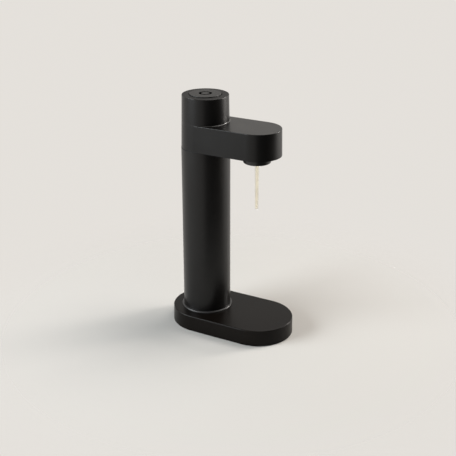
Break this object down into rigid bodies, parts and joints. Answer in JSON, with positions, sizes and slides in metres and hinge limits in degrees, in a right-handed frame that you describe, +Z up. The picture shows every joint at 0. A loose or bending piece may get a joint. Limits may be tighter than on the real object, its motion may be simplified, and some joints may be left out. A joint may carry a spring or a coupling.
{
  "type": "sparkling water maker",
  "caption": "Countertop sparkling water maker: round column with a push button on top, a bottle arm with a carbonating lance, and a flat base with round ends",
  "frame": {"origin": "on the table, under the middle of the base", "axes": "+Z up, +X from the column to the bottle, +Y to the left seen from the column"},
  "size_m": [0.221, 0.123, 0.41],
  "materials": {
    "black_plastic": "fine matt texture",
    "button_plastic": "satin matt",
    "socket_plastic": "satin matt",
    "coated_tube": "matt black powder coat",
    "bright_steel": "zinc plated",
    "black_screw": "black oxide",
    "cast_alloy": "as cast",
    "brass": "machined",
    "rubber": "moulded",
    "white_nylon": "natural glass-filled nylon",
    "ivory_plastic": "natural translucent plastic",
    "cylinder_paint": "smooth enamel"
  },
  "bodies": {
    "body": {"base_housing": "black_plastic", "base_plate": "bright_steel", "rubber_feet": "rubber", "base_screws": "bright_steel", "column_foot": "cast_alloy", "foot_screws": "bright_steel", "column_collar": "black_plastic", "column_tube": "coated_tube", "tie_rods": "bright_steel", "tie_rod_nuts": "bright_steel", "cylinder_guide": "white_nylon", "cylinder_gasket": "rubber", "valve_block": "brass", "block_screws": "bright_steel", "plunger_oring": "rubber", "gas_elbow": "brass", "gas_tube": "bright_steel", "inlet_nut": "brass", "head_frame": "white_nylon", "head_housing": "black_plastic", "housing_screws": "bright_steel", "arm_cover": "black_plastic", "cover_screws": "black_screw", "lever_bracket": "bright_steel", "bracket_screws": "bright_steel", "lever_pin": "bright_steel", "button_spring": "bright_steel", "manifold": "brass", "bottle_socket": "socket_plastic", "socket_screws": "bright_steel", "bottle_seal": "rubber", "lance": "ivory_plastic", "lance_oring": "rubber", "relief_body": "brass", "relief_spring": "bright_steel"},
    "button": {"button_cap": "button_plastic"},
    "lever": {"lever": "bright_steel"},
    "plunger": {"plunger": "bright_steel"},
    "cylinder": {"gas_cylinder": "cylinder_paint", "cylinder_valve": "brass"},
    "pin": {"valve_pin": "bright_steel"},
    "poppet": {"relief_poppet": "rubber"}
  },
  "joints": [
    {"name": "button_press", "type": "slide", "parent": "body", "child": "button", "axis": [0, 0, -1], "range_m": [0, 0.005], "stiffness_N_per_m": 800, "springref_m": -0.004, "deforming": ["button_spring"]},
    {"name": "lever_rock", "type": "hinge", "parent": "body", "child": "lever", "pos_m": [-0.065, 0, 0.3895], "axis": [0, 1, 0], "range_deg": [0, 8.5]},
    {"name": "plunger_press", "type": "slide", "parent": "body", "child": "plunger", "axis": [0, 0, -1], "range_m": [0, 0.0021]},
    {"name": "cylinder_unscrew", "type": "hinge", "parent": "body", "child": "cylinder", "pos_m": [-0.051, 0, 0.2], "axis": [0, 0, -1], "range_deg": [0, 1080]},
    {"name": "valve_pin_press", "type": "slide", "parent": "cylinder", "child": "pin", "axis": [0, 0, -1], "range_m": [0, 0.0021]},
    {"name": "relief_lift", "type": "slide", "parent": "body", "child": "poppet", "axis": [0, 0, 1], "range_m": [0, 0.0015], "stiffness_N_per_m": 2000, "springref_m": -0.002, "deforming": ["relief_spring"]}
  ],
  "couplings": [
    {"joint": "lever_rock", "follows": "button_press", "rad_per_m": 29.412},
    {"joint": "plunger_press", "follows": "button_press", "ratio": 0.41176},
    {"joint": "valve_pin_press", "follows": "button_press", "ratio": 0.41176}
  ]
}
